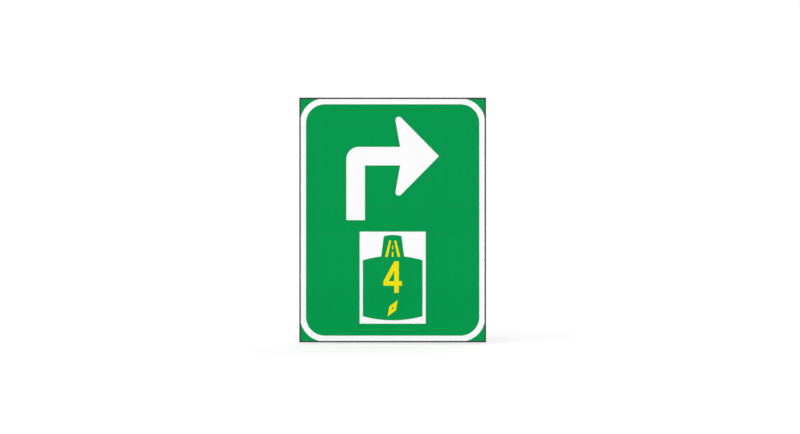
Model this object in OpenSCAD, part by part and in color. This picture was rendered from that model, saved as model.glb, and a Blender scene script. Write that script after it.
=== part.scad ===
// Overhead route marker sign
// A green plank-built sign face with a white border, a bent arrow and a marker plate, carried by two
// vertical hangers and two horizontal rails. The front faces -Y and the origin is at the centre of the
// rear face of the upper rail, where the sign is held by whatever spans the road.

/* [Planks] */
// Number of horizontal planks stacked in the face
plank_count = 9; // [9:1:11]
// Height of one plank, joint to joint
plank_pitch = 300; // [296:1:330]
// Length of a plank between the side trims
plank_len = 2058; // [1800:2:2600]
// Depth of a plank from its face to its rear lips
plank_depth = 50; // [40:1:70]
// Thickness of the plank face
face_t = 3; // [2:0.1:5]
// Thickness of the flanges, the bolt tracks and their lips
flange_t = 3; // [2:0.1:4]
// Width of the bolt head channel in a rear track
track_w = 19; // [17:0.5:24]
// Depth of the bolt head channel in a rear track
track_d = 8; // [7:0.5:12]
// Width of each lip that narrows the mouth of a track
track_lip = 4; // [3:0.5:5]

/* [Edge trim] */
// Thickness of the dark edge angles
trim_t = 2; // [1:0.1:4]
// Width of the dark lip seen from the front
trim_lip = 16; // [9:0.5:20]
// Room between the planks and the webs of the trim
trim_gap = 2; // [0.5:0.1:3]
// Room in front of the sheeting and beside the border
lip_gap = 0.2; // [0.1:0.1:1]
// Open joint at the mitred corners
mitre_gap = 0.4; // [0.2:0.1:1]

/* [Sheeting and border] */
// Thickness of the green sheeting on the planks
sheeting_t = 0.5; // [0.3:0.1:1]
// Open joint left between the sheeting of two planks
sheeting_gap = 0.5; // [0.2:0.1:2]
// Thickness of the riveted plates of the border, the arrow and the marker
plate_t = 1.6; // [1:0.1:3]
// Distance from the outer edge of the sign to the inner edge of the border
border_inset = 74; // [66:0.5:95]
// Width of the border band, part of which the trim covers
border_band = 64.6; // [62:0.1:75]
// Radius of the border's inner corners
border_inner_r = 208; // [150:1:260]
// Room between the border and the trim's lip
border_gap = 0.5; // [0.2:0.1:2]
// Open joint between the border's straight and corner pieces
border_joint = 0.5; // [0.2:0.1:2]

/* [Turn arrow] */
// Width of the arrow over all
arrow_w = 1025; // [900:5:1200]
// Width of the arrow's shaft
arrow_shaft = 205; // [150:1:240]
// Height of the arrow head
arrow_head_h = 872; // [760:2:920]
// Angle between the shaft and each front edge of the head
arrow_tip_angle = 45.4; // [40:0.1:52]
// Lean of the back edges of the head towards the tail
arrow_lean = 10; // [2:0.5:18]
// Radius of the rounded ends of the head
arrow_barb_r = 36; // [20:1:50]
// Outer radius of the bend between the stem and the shaft
arrow_elbow_r = 138; // [60:1:180]
// Distance from the border down to the arrow head
arrow_top_margin = 138; // [60:0.5:200]
// Distance from the marker plate up to the foot of the stem
arrow_foot_gap = 127.5; // [40:0.5:200]

/* [Marker] */
// Distance from the border up to the marker plate
marker_foot_margin = 133; // [60:0.5:200]
// White margin beside the shield
shield_side_margin = 34.5; // [20:0.5:60]
// White margin below the shield
shield_foot_margin = 37; // [20:0.5:60]
// White margin above the shield
shield_top_margin = 36; // [20:0.5:60]
// Width of the shield
shield_w = 661; // [560:1:760]
// Radius of the shield's rounded foot
shield_foot_r = 1236; // [900:2:2000]
// Radius of the shield's rounded shoulders
shield_shoulder_r = 1115; // [900:2:2000]
// Height of the tab on top of the shield, to its highest point
tab_h = 238; // [210:1:280]
// Width of the tab where it leaves the shoulders
tab_foot_w = 254.6; // [220:0.2:300]
// Width of the tab at its top
tab_top_w = 196.4; // [180:0.2:215]
// Radius of the tab's rounded top
tab_top_r = 351; // [200:1:600]
// Thickness of the shield and of the yellow marks
mark_t = 0.5; // [0.3:0.1:1.5]

/* [Yellow marks] */
// Height of the route number
number_h = 348; // [300:1:380]
// Width of the route number
number_w = 204; // [160:1:260]
// Stroke width of the route number
number_stroke = 50; // [36:1:60]
// Height of the number's crossbar above its foot
number_bar_z = 78; // [50:1:110]
// Reach of the number's crossbar beyond its post
number_stub = 34; // [20:1:40]
// Room between the number and the shoulders of the shield
number_top_room = 11; // [4:1:60]
// Room between the lower mark and the number
number_foot_room = 82; // [20:1:120]
// Height of the road mark in the tab
road_mark_h = 180; // [140:1:190]
// Width of the road mark at its foot
road_mark_w = 166; // [130:1:190]
// Width of the road mark at its top
road_mark_top_w = 76; // [64:1:110]
// Stroke width of the road mark's two edges at the foot
road_mark_stroke = 28; // [20:1:34]
// Stroke width of the road mark's two edges at the top
road_mark_top_stroke = 22; // [14:1:26]
// Width of the road mark's middle line at its foot
road_dash_w = 19; // [12:1:26]
// Length of the near dash of the middle line
road_dash_near = 54; // [40:1:60]
// Length of the gap between the two dashes
road_dash_gap = 29; // [20:1:36]
// Length of the far dash
road_dash_far = 40; // [24:1:44]
// Height of the road mark's foot above the foot of the tab
road_mark_rise = -4; // [-20:1:20]
// Height of the needle mark near the foot of the shield
needle_h = 180; // [140:1:200]
// Width of the needle across its middle
needle_w = 84; // [50:1:100]
// Lean of the needle from upright
needle_lean = 32; // [0:1:40]
// Width across the corners of the square opening in the middle of the needle
needle_eye = 26; // [14:1:32]
// Room between the foot of the shield and the needle
needle_foot_room = 43; // [20:1:80]

/* [Hangers] */
// Distance between the two hangers, centre to centre
hanger_spacing = 1100; // [900:5:1400]
// Depth of the I-section
hanger_d = 100; // [80:1:160]
// Width of the flanges of the I-section
hanger_b = 55; // [48:1:90]
// Thickness of the web of the I-section
hanger_web_t = 4.1; // [3.5:0.1:7]
// Thickness of the flanges of the I-section
hanger_flange_t = 5.7; // [5:0.1:9]
// Root radius between the web and the flanges
hanger_root_r = 7; // [4:0.5:9]
// Diameter of the lifting hole in each web
lift_hole_d = 22; // [16:1:30]
// Distance of the lifting hole from the top of the hanger
lift_hole_drop = 60; // [40:1:90]

/* [Clips] */
// Height of a clip along the hanger
clip_h = 30; // [24:1:32]
// Reach of a clip's toe over the hanger flange
clip_toe = 11; // [8:0.5:13]
// Reach of a clip's heel beside the hanger flange
clip_heel = 38; // [32:1:46]
// Thickness of a clip's toe
clip_toe_t = 10; // [7:0.5:14]
// Room between a clip and the edge of the flange
clip_room = 1; // [0.5:0.1:2]
// Chamfer on the rear corners of a clip
clip_chamfer = 4; // [2:0.5:5]

/* [Rails] */
// Distance between the two rails, centre to centre
rail_pitch = 1300; // [1000:10:1800]
// Height of a rail
rail_h = 100; // [80:1:140]
// Depth of a rail
rail_d = 50; // [40:1:80]
// Wall thickness of a rail
rail_t = 4; // [3:0.1:6]
// Outer corner radius of a rail
rail_r = 8; // [7:0.5:10]
// Length of a rail beyond the centre of each hanger
rail_overhang = 150; // [130:1:250]
// Thickness of the plates welded on the ends of a rail
cap_t = 4; // [3:0.1:6]
// Distance that an end plate stands back from the faces of its rail
cap_step = 2; // [1:0.1:3]
// Diameter of the mounting holes through a rail
mount_hole_d = 18; // [14:1:22]
// Distance of the mounting holes outside the centre of each hanger
mount_hole_out = 90; // [70:1:105]
// Distance between the upper and lower mounting holes of a rail
mount_hole_pitch = 50; // [40:1:56]

/* [Hidden] */
plank_names = [for (i = [1:plank_count]) str("plank_", i)];
// Facets of a full circle, and of the two large rings that form the border's corners
$fn = 48;
ring_fn = 96;
// Steps of a long arc, and of a small rounded corner
arc_steps = 12;
corner_steps = 6;
// Reach of a drill beyond what it drills through
over = 1;

// Overall size of the face, with its trim
board_w = plank_len + 2 * (trim_gap + trim_t);
board_h = plank_count * plank_pitch + 2 * (trim_gap + trim_t);
board_z = -rail_pitch / 2;

// Depths, from the rear face of the rails forwards
hanger_rear_y = -rail_d;
hanger_front_y = hanger_rear_y - hanger_d;
face_y = hanger_front_y - plank_depth;
sheeting_y = face_y - sheeting_t;
plate_y = sheeting_y - plate_t;
shield_y = plate_y - mark_t;
mark_y = shield_y - mark_t;
lip_y = sheeting_y - lip_gap - trim_t;

// Border lines, measured from the middle of the face
border_in_x = board_w / 2 - border_inset;
border_in_z = board_h / 2 - border_inset;
border_w = border_inset - trim_lip - border_gap;
border_outer_r = border_inner_r + border_band;
corner_x = border_in_x - border_inner_r;
corner_z = border_in_z - border_inner_r;

// Heights of the marker, stacked up from its foot and measured from the middle of the face
marker_foot_z = -border_in_z + marker_foot_margin;
shield_foot_z = marker_foot_z + shield_foot_margin;
foot_sag = shield_foot_r - sqrt(pow(shield_foot_r, 2) - pow(shield_w / 2, 2));
needle_z = shield_foot_z + needle_foot_room + needle_h / 2;
number_foot_z = needle_z + needle_h / 2 + number_foot_room;
shoulder_z = number_foot_z + number_h + number_top_room;
tab_foot_z = shoulder_z + arc_height(shield_shoulder_r, tab_foot_w / 2, shield_w / 2);
tab_top_z = tab_foot_z + tab_h - arc_height(tab_top_r, 0, tab_top_w / 2);
marker_w = shield_w + 2 * shield_side_margin;
marker_h = tab_foot_z + tab_h + shield_top_margin - marker_foot_z;

// Places of the arrow, measured from the middle of the face
arrow_axis_z = border_in_z - arrow_top_margin - arrow_head_h / 2;
arrow_foot_z = marker_foot_z + marker_h + arrow_foot_gap;

// Fall of an arc of radius r between the distances a and b from its middle
function arc_height(r, a, b) = sqrt(r * r - a * a) - sqrt(r * r - b * b);

// Points of an arc about c, from angle a to angle b
function arc(c, r, a, b, steps = arc_steps) =
    [for (i = [0:steps]) let (t = a + (b - a) * i / steps) c + r * [cos(t), sin(t)]];

// Points of an arc whose middle lies on the vertical axis, from x = a to x = b
function crown(top_z, r, a, b, side = 1) =
    [for (i = [0:arc_steps]) let (x = a + (b - a) * i / arc_steps)
        [x, top_z + side * (sqrt(r * r - x * x) - r)]];

// The same points with x and their order reversed
function mirrored(points) = [for (i = [len(points) - 1:-1:0]) [-points[i][0], points[i][1]]];

// The same points with y and their order reversed
function flipped(points) = [for (i = [len(points) - 1:-1:0]) [points[i][0], -points[i][1]]];

// Centre line of the joint below plank i, measured from the middle of the face
function joint_z(i) = (i - 1 - plank_count / 2) * plank_pitch;

// A flat outline in X and Z, made a plate whose front is at y
module plate(y, t) {
    translate([0, y + t, board_z]) rotate([90, 0, 0]) linear_extrude(t) children();
}

// An outline in X and Y, made a bar that runs up from z
module upright(z, h) {
    translate([0, 0, z]) linear_extrude(h) children();
}

// An outline in Y and Z, made a bar of length l with its middle at x = 0
module level_bar(l) {
    translate([-l / 2, 0, 0]) rotate([90, 0, 90]) linear_extrude(l) children();
}

// A plank's section: depth behind the face, then height about the plank's centre line
module plank_section() {
    top = plank_pitch / 2;
    inner = top - 2 * flange_t - track_w;
    track_floor = plank_depth - flange_t - track_d;
    lip_face = plank_depth - flange_t;
    upper = [
        [0, top], [plank_depth, top], [plank_depth, top - flange_t - track_lip],
        [lip_face, top - flange_t - track_lip], [lip_face, top - flange_t],
        [track_floor, top - flange_t], [track_floor, inner + flange_t],
        [lip_face, inner + flange_t], [lip_face, inner + flange_t + track_lip],
        [plank_depth, inner + flange_t + track_lip], [plank_depth, inner],
        [track_floor - flange_t, inner], [track_floor - flange_t, top - flange_t],
        [face_t, top - flange_t]];
    polygon(concat(upper, flipped(upper)));
}

// One horizontal plank, counted from the bottom
module plank(i) {
    color("#C9CCD0") translate([0, face_y, board_z + joint_z(i) + plank_pitch / 2])
        level_bar(plank_len) plank_section();
}

// Green sheeting, one strip on the face of each plank
module green_sheeting() {
    color("#01994E") plate(sheeting_y, sheeting_t)
        for (i = [1:plank_count])
            translate([-plank_len / 2, joint_z(i) + sheeting_gap / 2])
                square([plank_len, plank_pitch - sheeting_gap]);
}

// Section of the edge trim: inset from the outer edge, then depth
module trim_section() {
    rear_y = hanger_front_y - lip_gap;
    polygon([[0, lip_y], [trim_lip, lip_y], [trim_lip, lip_y + trim_t],
        [trim_t, lip_y + trim_t], [trim_t, rear_y], [0, rear_y]]);
}

// One length of edge trim along the top of a face of width w and height h, mitred at both ends
module trim_length(w, h) {
    cut = board_w + board_h;
    color("#33342F") translate([0, 0, board_z]) intersection() {
        translate([-w / 2, 0, h / 2]) rotate([0, 90, 0]) linear_extrude(w) trim_section();
        translate([0, hanger_rear_y, h / 2 - w / 2 + mitre_gap]) rotate([90, 0, 0])
            linear_extrude(cut) polygon([[0, 0], [cut, cut], [-cut, cut]]);
    }
}

module trim_top() {
    trim_length(board_w, board_h);
}

module trim_bottom() {
    translate([0, 0, board_z]) mirror([0, 0, 1]) translate([0, 0, -board_z]) trim_top();
}

module trim_right() {
    translate([0, 0, board_z]) rotate([0, 90, 0]) translate([0, 0, -board_z])
        trim_length(board_h, board_w);
}

module trim_left() {
    mirror([1, 0, 0]) trim_right();
}

// One straight of the border: length l along X, with its inner edge at height z
module border_straight(l, z) {
    translate([-l / 2 + border_joint, z]) square([l - 2 * border_joint, border_w]);
}

module border_top() {
    color("white") plate(plate_y, plate_t) border_straight(2 * corner_x, border_in_z);
}

module border_bottom() {
    color("white") plate(plate_y, plate_t) mirror([0, 1]) border_straight(2 * corner_x, border_in_z);
}

module border_right() {
    color("white") plate(plate_y, plate_t) rotate(-90) border_straight(2 * corner_z, border_in_x);
}

module border_left() {
    color("white") plate(plate_y, plate_t) rotate(90) border_straight(2 * corner_z, border_in_x);
}

// The border's four corners: rings cut off where they reach the trim
module border_corners() {
    reach = border_inner_r + border_w;
    color("white") plate(plate_y, plate_t)
        for (sx = [0, 1], sz = [0, 1])
            mirror([sx, 0]) mirror([0, sz]) translate([corner_x, corner_z]) intersection() {
                difference() {
                    circle(border_outer_r, $fn = ring_fn);
                    circle(border_inner_r, $fn = ring_fn);
                }
                square(reach);
            }
}

// The arrow: a stem that rises, bends to the right and ends in a head
module turn_arrow() {
    tip = [arrow_w / 2, 0];
    half = arrow_shaft / 2;
    barb_z = arrow_head_h / 2 - arrow_barb_r;
    barb_x = tip[0] - (barb_z * cos(arrow_tip_angle) + arrow_barb_r) / sin(arrow_tip_angle);
    back_x = barb_x - arrow_barb_r * cos(arrow_lean)
        + (barb_z - arrow_barb_r * sin(arrow_lean) - half) * tan(arrow_lean);
    barb = arc([barb_x, barb_z], arrow_barb_r, 180 + arrow_lean, 90 - arrow_tip_angle);
    stem_x = -arrow_w / 2;
    elbow = arc([stem_x + arrow_elbow_r, half - arrow_elbow_r], arrow_elbow_r, 180, 90);
    foot = arrow_foot_z - arrow_axis_z;
    color("white") plate(plate_y, plate_t) translate([0, arrow_axis_z])
        polygon(concat([[stem_x, foot]], elbow, [[back_x, half]], barb, [tip], flipped(barb),
            [[back_x, -half], [stem_x + arrow_shaft, -half], [stem_x + arrow_shaft, foot]]));
}

// White plate that carries the shield
module marker_plate() {
    color("white") plate(plate_y, plate_t)
        translate([-marker_w / 2, marker_foot_z]) square([marker_w, marker_h]);
}

// Shield with a rounded foot, rounded shoulders and a tapered tab
module marker_shield() {
    foot = crown(shield_foot_z, shield_foot_r, -shield_w / 2, shield_w / 2, -1);
    shoulder = crown(shoulder_z + arc_height(shield_shoulder_r, 0, shield_w / 2), shield_shoulder_r,
        shield_w / 2, tab_foot_w / 2);
    tab = crown(tab_foot_z + tab_h, tab_top_r, tab_top_w / 2, -tab_top_w / 2);
    color("#01994E") plate(shield_y, mark_t)
        polygon(concat(foot, shoulder, tab, mirrored(shoulder)));
}

// A plain figure four, built from its three strokes
module route_number() {
    bar_top = number_bar_z + number_stroke;
    post_x = number_w - number_stub;
    inner_x = post_x - number_stroke;
    slope = atan2(number_h - bar_top, inner_x);
    color("#F2E10A") plate(mark_y, mark_t) translate([-number_w / 2, number_foot_z]) difference() {
        polygon([[0, number_bar_z], [inner_x, number_bar_z], [inner_x, 0], [post_x, 0],
            [post_x, number_bar_z], [number_w, number_bar_z], [number_w, bar_top],
            [post_x, bar_top], [post_x, number_h], [inner_x, number_h], [0, bar_top]]);
        polygon([[number_stroke / sin(slope), bar_top], [inner_x, bar_top],
            [inner_x, number_h - number_stroke / cos(slope)]]);
    }
}

// Share of its width at the foot that the road keeps at height z, as it runs away
function narrowing(z) = 1 - (1 - road_mark_top_w / road_mark_w) * z / road_mark_h;

// One dash of the road's middle line, from height z up by the length l
module road_dash(z, l) {
    foot_x = road_dash_w / 2 * narrowing(z);
    top_x = road_dash_w / 2 * narrowing(z + l);
    polygon([[-foot_x, z], [foot_x, z], [top_x, z + l], [-top_x, z + l]]);
}

// A road seen running away: two edges that close up and two dashes between them
module road_mark() {
    foot_x = road_mark_w / 2;
    top_x = road_mark_top_w / 2;
    color("#F2E10A") plate(mark_y, mark_t) translate([0, tab_foot_z + road_mark_rise]) {
        for (s = [0, 1]) mirror([s, 0])
            polygon([[foot_x - road_mark_stroke, 0], [foot_x, 0], [top_x, road_mark_h],
                [top_x - road_mark_top_stroke, road_mark_h]]);
        road_dash(0, road_dash_near);
        road_dash(road_dash_near + road_dash_gap, road_dash_far);
    }
}

// A plain pointer: a leaning needle with a square opening in its middle
module needle_mark() {
    half_l = needle_h / 2 / cos(needle_lean);
    color("#F2E10A") plate(mark_y, mark_t) translate([0, needle_z]) rotate(-needle_lean)
        difference() {
            polygon([[0, -half_l], [needle_w / 2, 0], [0, half_l], [-needle_w / 2, 0]]);
            circle(d = needle_eye, $fn = 4);
        }
}

// Outline of the I-section, with its root fillets
module hanger_section() {
    web = hanger_web_t / 2;
    flange_in = hanger_d / 2 - hanger_flange_t;
    root = arc([web + hanger_root_r, flange_in - hanger_root_r], hanger_root_r, 180, 90,
        corner_steps);
    rear_right = concat(root, [[hanger_b / 2, flange_in], [hanger_b / 2, hanger_d / 2]]);
    rear = concat(rear_right, mirrored(rear_right));
    polygon(concat(rear, flipped(rear)));
}

// One vertical hanger, side = 1 on the right and -1 on the left
module hanger(side) {
    top_z = board_z + board_h / 2;
    color("#A9AEB2") difference() {
        translate([side * hanger_spacing / 2, hanger_rear_y - hanger_d / 2, 0])
            upright(board_z - board_h / 2, board_h) hanger_section();
        translate([side * hanger_spacing / 2 - hanger_b / 2, hanger_rear_y - hanger_d / 2,
            top_z - lift_hole_drop])
            rotate([0, 90, 0]) cylinder(h = hanger_b, d = lift_hole_d);
    }
}

// Section of a clip: distance outside the flange's edge, then depth
module clip_section() {
    flange_y = hanger_front_y + hanger_flange_t;
    rear_y = flange_y + clip_toe_t;
    polygon([[-clip_toe, flange_y], [clip_room, flange_y], [clip_room, hanger_front_y],
        [clip_heel, hanger_front_y], [clip_heel, rear_y - clip_chamfer],
        [clip_heel - clip_chamfer, rear_y], [clip_chamfer - clip_toe, rear_y],
        [-clip_toe, rear_y - clip_chamfer]]);
}

// Clips of one hanger: at each joint one holds the plank below and one the plank above
module clips(side) {
    bolt_line = flange_t + track_w / 2;
    color("#B9BDC0") for (i = [1:plank_count], upper = [0, 1]) {
        bolt_z = upper ? joint_z(i + 1) - bolt_line : joint_z(i) + bolt_line;
        translate([side * hanger_spacing / 2, 0, 0]) mirror([upper, 0, 0])
            translate([hanger_b / 2, 0, 0])
                upright(board_z + bolt_z - clip_h / 2, clip_h) clip_section();
    }
}

// Rounded rectangle of width w and height h about the origin
module rounded(w, h, r) {
    polygon([for (q = [0:3])
        let (sx = q == 0 || q == 3 ? 1 : -1, sy = q < 2 ? 1 : -1)
        each arc([sx * (w / 2 - r), sy * (h / 2 - r)], r, 90 * q, 90 * q + 90,
            corner_steps)]);
}

// One horizontal rail with its centre at height z, and its four mounting holes
module rail(z) {
    rail_len = hanger_spacing + 2 * rail_overhang;
    hole_x = hanger_spacing / 2 + mount_hole_out;
    color("#A9AEB2") translate([0, -rail_d / 2, z]) difference() {
        level_bar(rail_len) difference() {
            rounded(rail_d, rail_h, rail_r);
            rounded(rail_d - 2 * rail_t, rail_h - 2 * rail_t, rail_r - rail_t);
        }
        for (sx = [-1, 1], sz = [-1, 1])
            translate([sx * hole_x, rail_d / 2 + over, sz * mount_hole_pitch / 2])
                rotate([90, 0, 0]) cylinder(h = rail_d + 2 * over, d = mount_hole_d);
    }
}

// End plates of the rail at height z
module rail_caps(z) {
    rail_len = hanger_spacing + 2 * rail_overhang;
    color("#A9AEB2") for (s = [-1, 1])
        translate([s * (rail_len + cap_t) / 2, -rail_d / 2, z])
            level_bar(cap_t) rounded(rail_d - 2 * cap_step, rail_h - 2 * cap_step, rail_r - cap_step);
}

for (i = [1:plank_count]) plank(i);
green_sheeting();
trim_top();
trim_bottom();
trim_left();
trim_right();
border_top();
border_bottom();
border_left();
border_right();
border_corners();
turn_arrow();
marker_plate();
marker_shield();
route_number();
road_mark();
needle_mark();
hanger(-1);  // hanger_left
hanger(1);  // hanger_right
clips(-1);  // clips_left
clips(1);  // clips_right
rail(0);  // rail_upper
rail(-rail_pitch);  // rail_lower
rail_caps(0);  // rail_caps_upper
rail_caps(-rail_pitch);  // rail_caps_lower
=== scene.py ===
"""Looks of an overhead route marker sign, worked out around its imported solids.

The solids give every plank, plate, hanger and rail its size and place. This script gives them their
finishes and adds what holds the real sign together: rivets, stitch bolts, clamp bolts and weld beads.
Lengths in the classes are in millimetres and angles in degrees. Points and heights are in metres.
"""

import logging
import math
from dataclasses import dataclass, field, replace
from enum import Enum
from typing import Iterable, Sequence

import bmesh
import bpy
import numpy as np
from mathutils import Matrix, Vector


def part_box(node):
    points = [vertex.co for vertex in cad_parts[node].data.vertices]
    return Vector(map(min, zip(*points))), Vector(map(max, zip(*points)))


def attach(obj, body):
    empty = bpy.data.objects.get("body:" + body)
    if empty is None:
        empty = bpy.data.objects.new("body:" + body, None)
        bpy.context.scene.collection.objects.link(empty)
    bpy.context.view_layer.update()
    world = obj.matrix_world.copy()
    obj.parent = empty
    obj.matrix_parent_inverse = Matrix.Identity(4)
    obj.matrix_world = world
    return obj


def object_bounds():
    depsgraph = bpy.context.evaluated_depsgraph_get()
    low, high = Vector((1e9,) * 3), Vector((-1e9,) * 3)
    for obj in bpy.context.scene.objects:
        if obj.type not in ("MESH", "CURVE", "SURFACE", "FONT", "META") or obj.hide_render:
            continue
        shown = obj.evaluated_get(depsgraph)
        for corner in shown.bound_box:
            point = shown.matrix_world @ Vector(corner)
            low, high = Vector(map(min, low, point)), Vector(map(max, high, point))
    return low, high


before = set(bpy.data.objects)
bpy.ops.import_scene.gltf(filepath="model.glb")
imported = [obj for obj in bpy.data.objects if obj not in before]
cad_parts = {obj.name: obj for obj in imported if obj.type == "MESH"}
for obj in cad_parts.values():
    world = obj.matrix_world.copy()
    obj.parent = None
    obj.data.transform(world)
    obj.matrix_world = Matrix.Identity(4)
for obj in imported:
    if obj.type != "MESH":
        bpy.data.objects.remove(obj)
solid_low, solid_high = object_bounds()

MM = 0.001
BODY = "root"
FIRST_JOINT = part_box("plank_1")[0][2]
PLANK_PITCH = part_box("plank_2")[0][2] - FIRST_JOINT
# Scale at which a wave texture has one band a metre.
ONE_BAND = math.pi / 10.0
# Most values of a noise lie between these two.
NOISE_MIDDLE = {"From Min": 0.3, "From Max": 0.7}
# Points closer than this, in millimetres, become one.
MERGED = 0.001
# Points on a quarter of a round corner, and the four quarters, anticlockwise.
QUARTER_POINTS = 13
QUARTERS = np.array([(1, 1), (-1, 1), (-1, -1), (1, -1)])
log = logging.getLogger("route_marker_sign")

Value = float | Sequence[float] | bpy.types.Node | bpy.types.NodeSocket
# The two ends of a range.
Span = tuple[float, float]
# The size of a noise's lumps, along X, Y and Z where they aren't round.
Lumps = float | tuple[float, float, float]


class Axis(Enum):
    """Direction in which a fastener's head or nut looks, as the turn that brings +Z there."""

    UP = ((1, 0, 0), (0, 1, 0), (0, 0, 1))
    DOWN = ((1, 0, 0), (0, -1, 0), (0, 0, -1))
    FRONT = ((1, 0, 0), (0, 0, -1), (0, 1, 0))
    BACK = ((1, 0, 0), (0, 0, 1), (0, -1, 0))


class Detail(Enum):
    """Finer octaves of a noise, from a smooth skin to a stain with ragged edges."""

    SMOOTH = 1.0
    GRAINY = 2.0
    ROUGH = 3.0
    RAGGED = 4.0


def linear(code: str) -> tuple[float, float, float, float]:
    """Turns an sRGB hex colour to linear values.

    Args:
        code: The colour, such as "#01994E".

    Returns:
        Red, green and blue in linear light, and full alpha.
    """
    srgb = np.array([int(code[i:i + 2], 16) for i in (1, 3, 5)]) / 255.0
    light = np.where(srgb <= 0.04045, srgb / 12.92, ((srgb + 0.055) / 1.055) ** 2.4)
    return (*light.tolist(), 1.0)


class Nodes:
    """The node tree of one material or world."""

    def __init__(self, owner: bpy.types.Material | bpy.types.World) -> None:
        """Empties the tree.

        Args:
            owner: The material or world that it belongs to.
        """
        owner.use_nodes = True
        self.tree = owner.node_tree
        self.tree.nodes.clear()

    def add(
        self, kind: str, inputs: dict[str | int, Value] | None = None, **settings: object
    ) -> bpy.types.Node:
        """Adds one node with its settings, values and links.

        Args:
            kind: The node's type name, without ShaderNode in front.
            inputs: Socket name or number to its value, or to the output that feeds it. A node stands for
                its first output.
            settings: The node's own properties.

        Returns:
            The new node.
        """
        node = self.tree.nodes.new("ShaderNode" + kind)
        for name, setting in settings.items():
            setattr(node, name, setting)
        for key, value in (inputs or {}).items():
            source = value.outputs[0] if isinstance(value, bpy.types.Node) else value
            if isinstance(source, bpy.types.NodeSocket):
                self.tree.links.new(source, node.inputs[key])
            else:
                node.inputs[key].default_value = source
        return node


class FinishNodes(Nodes):
    """The nodes of a finish, with the patterns that several finishes share."""

    def __init__(self, owner: bpy.types.Material) -> None:
        """Starts a material's tree with where a point is on the sign and where it looks.

        Args:
            owner: The material.
        """
        super().__init__(owner)
        coordinates = self.add("TexCoord").outputs
        self.place, self.normal = coordinates["Object"], coordinates["Normal"]

    def grain(
        self, lumps: Lumps, detail: Detail = Detail.GRAINY, spread: Span | None = None
    ) -> bpy.types.Node:
        """A noise whose lumps have a real size.

        Args:
            lumps: Their size.
            detail: How ragged they are.
            spread: Values that its middle is spread over, or None where it stays from 0 to 1.

        Returns:
            The noise.
        """
        scale = 1.0 / (np.array(lumps) * MM) * np.ones(3)
        scaled = self.add("Mapping", {"Vector": self.place, "Scale": scale.tolist()})
        noise = self.add("TexNoise", {"Vector": scaled, "Scale": 1.0, "Detail": detail.value})
        if spread is None:
            return noise
        low, high = spread
        return self.add("MapRange", {"Value": noise, **NOISE_MIDDLE, "To Min": low, "To Max": high})

    def planks_up(self) -> bpy.types.Node:
        """Measures the height above the lowest joint.

        Returns:
            The height, counted in planks.
        """
        split = self.add("SeparateXYZ", {0: self.place})
        height = self.add("Math", {0: split.outputs[2], 1: FIRST_JOINT}, operation="SUBTRACT")
        return self.add("Math", {0: height, 1: PLANK_PITCH}, operation="DIVIDE")

    def batch(self, low: float, high: float) -> bpy.types.Node:
        """Draws one value for each plank, as metal and sheeting come from different batches.

        Args:
            low: Lowest value.
            high: Highest value.

        Returns:
            The value.
        """
        number = self.add("Math", {0: self.planks_up()}, operation="FLOOR")
        draw = self.add("TexWhiteNoise", {"W": number}, noise_dimensions="1D")
        return self.add("MapRange", {"Value": draw, "To Min": low, "To Max": high})

    def blended(self, first: Value, weight: float, second: Value, span: Span) -> bpy.types.Node:
        """Adds a pattern, times its weight, to a second one, and turns a span of the sum to 0 to 1."""
        total = self.add("Math", {0: first, 1: weight, 2: second}, operation="MULTIPLY_ADD")
        return self.add("MapRange", {"Value": total, "From Min": span[0], "From Max": span[1]})

    def forwards(self) -> bpy.types.Node:
        """1 on the faces that look towards the reader, to within 60 degrees, and 0 on all others."""
        facing = self.add("SeparateXYZ", {0: self.normal})
        return self.add("Math", {0: facing.outputs[1], 1: -0.5}, operation="LESS_THAN")

    def surface(
        self, colour: tuple[Value, Value, Value], roughness: tuple[Value, Span],
        relief: tuple[Value, float], others: dict[str, Value]
    ) -> bpy.types.Node:
        """Adds the shader that every finish ends in.

        Args:
            colour: A share from 0 to 1, and the colours at 0 and at 1.
            roughness: A noise, and the two values that its middle is spread over.
            relief: A height from 0 to 1, and how many mm that is.
            others: Values of the shader's other sockets.

        Returns:
            The shader.
        """
        share, first, second = colour
        skin, (smooth, matt) = roughness
        height, depth = relief
        mixed = self.add("Mix", {0: share, 6: first, 7: second}, data_type="RGBA")
        rough = self.add("MapRange", {"Value": skin, **NOISE_MIDDLE, "To Min": smooth, "To Max": matt})
        bump = self.add("Bump", {"Height": height, "Distance": depth * MM, "Strength": 1.0})
        return self.add(
            "BsdfPrincipled", {"Base Color": mixed.outputs[2], "Roughness": rough, "Normal": bump, **others})


@dataclass(frozen=True)
class Finish:
    """A surface of the sign: what it is made of and how it was made."""

    name: str

    def material(self) -> bpy.types.Material:
        """Gives the finish's material, which its first use makes.

        Returns:
            The material.
        """
        made = bpy.data.materials.get(self.name)
        if made is None:
            made = bpy.data.materials.new(self.name)
            nodes = FinishNodes(made)
            nodes.add("OutputMaterial", {"Surface": self.shader(nodes)})
        return made

    def shader(self, nodes: FinishNodes) -> bpy.types.Node:
        """Adds the finish's own nodes and gives its shader."""
        raise NotImplementedError


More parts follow.
